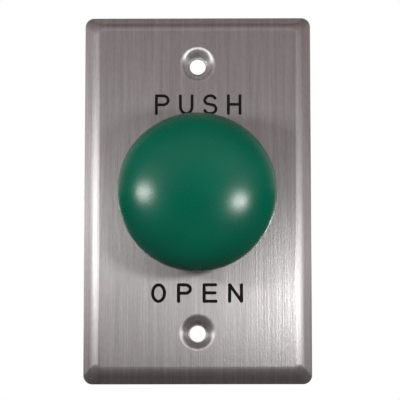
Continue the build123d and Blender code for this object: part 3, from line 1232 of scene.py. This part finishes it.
def direction(azimuth: float, elevation: float) -> Vector:
    """Unit vector from the button towards a place in the room.

    Args:
        azimuth: Degrees to the right of straight ahead, as seen from the room.
        elevation: Degrees above level.

    Returns:
        The vector.
    """
    turn, rise = math.radians(azimuth), math.radians(elevation)
    level = math.cos(rise)
    return Vector((math.sin(turn) * level, -math.cos(turn) * level, math.sin(rise)))


@dataclass
class Studio:
    """Camera, lamps, room light and floor, in degrees and metres.

    room_tint is the room's colour by height, from straight down at 0 to straight up at 1. room_level
    is its strength from straight ahead of the plate at 0 to straight behind it at 1.
    """

    azimuth: float = 0.7
    elevation: float = -9.6
    distance: float = 0.895
    lens: float = 261.2
    aim: tuple[float, float, float] = (0.0007, 0.0, -0.0001)
    floor_level: float = -0.5
    floor_size: float = 4.0
    floor_grey: float = 0.34
    floor_glow: float = 0.8
    floor_glow_share: float = 0.8
    white_edges: Point = (0.5, 0.95)
    room_tint: tuple[tuple[float, Colour], ...] = (
        (0.0, (0.022, 0.018, 0.0175)),
        (0.5, (0.025, 0.02, 0.019)),
        (0.552, (0.07, 0.056, 0.0545)),
        (0.592, (0.61, 0.487, 0.479)),
        (0.68, (0.6, 0.479, 0.471)),
        (0.85, (0.38, 0.303, 0.298)),
        (1.0, (0.38, 0.303, 0.298)),
    )
    room_level: tuple[Point, ...] = (
        (0.0, 0.16), (0.03, 0.28), (0.09, 1.0), (0.2, 0.85),
        (0.3, 0.26), (0.5, 0.17), (0.58, 0.4), (0.64, 1.0),
    )
    boxes: tuple[SoftBox, ...] = (
        SoftBox(
            "left_box", azimuth=-48.9, elevation=3.8, distance=0.190,
            width=0.070, height=0.052, power=0.258, aim=(-0.016, -0.025, 0.150),
        ),
        SoftBox(
            "right_box", azimuth=36.3, elevation=-4.3, distance=0.169,
            width=0.046, height=0.044, power=0.190, aim=(0.012, -0.026, 0.130),
        ),
    )

    def camera(self) -> None:
        """Places the camera where the photograph was taken from."""
        data = bpy.data.cameras.new("camera")
        data.lens = self.lens
        data.sensor_width = 36.0
        data.clip_start = 0.01
        camera = bpy.data.objects.new("camera", data)
        camera.location = direction(self.azimuth, self.elevation) * self.distance
        gaze = Vector(self.aim) - camera.location
        camera.rotation_euler = gaze.to_track_quat("-Z", "Y").to_euler()
        bpy.context.scene.collection.objects.link(camera)
        bpy.context.scene.camera = camera

    def floor(self) -> None:
        """Lays a plain floor that is pale to the camera and keeps a shadow."""
        half = self.floor_size / 2
        builder = MeshBuilder()
        corners = [Vector((x * half, y * half, self.floor_level)) for x, y in QUARTERS]
        builder.cap(builder.loop(corners))
        floor = builder.finish("floor")
        material, graph, shader = principled("pale_floor")
        shader.inputs["Base Color"].default_value = (*(self.floor_grey,) * 3, 1.0)
        shader.inputs["Roughness"].default_value = 0.9
        glow = graph.add("ShaderNodeEmission")
        glow.inputs["Strength"].default_value = self.floor_glow
        path = graph.add("ShaderNodeLightPath")
        mix = graph.add("ShaderNodeMixShader")
        seen = graph.maths("MULTIPLY", path.outputs["Is Camera Ray"], self.floor_glow_share)
        graph.link(seen, mix.inputs["Fac"])
        graph.link(shader.outputs["BSDF"], mix.inputs[1])
        graph.link(glow.outputs["Emission"], mix.inputs[2])
        output = material.node_tree.get_output_node("ALL")
        graph.link(mix.outputs["Shader"], output.inputs["Surface"])
        floor.data.materials.append(material)

    def room(self) -> None:
        """Sets the room light and the white background."""
        world = bpy.data.worlds.new("room")
        bpy.context.scene.world = world
        world.use_nodes = True
        graph = NodeGraph(world.node_tree)
        axes = graph.parts("Generated")
        levels = [(position, (level,) * 3) for position, level in self.room_level]
        dim = graph.add("ShaderNodeBackground")
        graph.link(graph.ramp(graph.half(axes["Z"]), self.room_tint), dim.inputs["Color"])
        graph.link(graph.ramp(graph.half(axes["Y"]), levels), dim.inputs["Strength"])
        white = graph.add("ShaderNodeBackground")
        white.inputs["Color"].default_value = (1.0, 1.0, 1.0, 1.0)
        path = graph.add("ShaderNodeLightPath")
        behind = graph.smooth_step(axes["Y"], self.white_edges)
        seen = graph.maths("MAXIMUM", path.outputs["Is Camera Ray"], path.outputs["Is Transmission Ray"])
        mirrored = graph.maths("MULTIPLY", path.outputs["Is Glossy Ray"], behind)
        mix = graph.add("ShaderNodeMixShader")
        graph.link(graph.maths("MAXIMUM", seen, mirrored), mix.inputs["Fac"])
        graph.link(dim.outputs["Background"], mix.inputs[1])
        graph.link(white.outputs["Background"], mix.inputs[2])
        output = graph.add("ShaderNodeOutputWorld")
        graph.link(mix.outputs["Shader"], output.inputs["Surface"])

    def build(self) -> None:
        """Makes the whole studio."""
        self.camera()
        self.floor()
        self.room()
        for box in self.boxes:
            box.build()
        bpy.context.scene.view_settings.view_transform = "Standard"


def main() -> None:
    """Builds the looks."""
    logging.basicConfig(level=logging.INFO, format="%(message)s")
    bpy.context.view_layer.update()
    shelf = FinishShelf()
    Studio().build()
    CarriedNodes().dress(frame["nodes"], shelf)
    WallPlate().build(shelf)
    SpringSet().build(shelf)


if __name__ == "__main__":
    main()
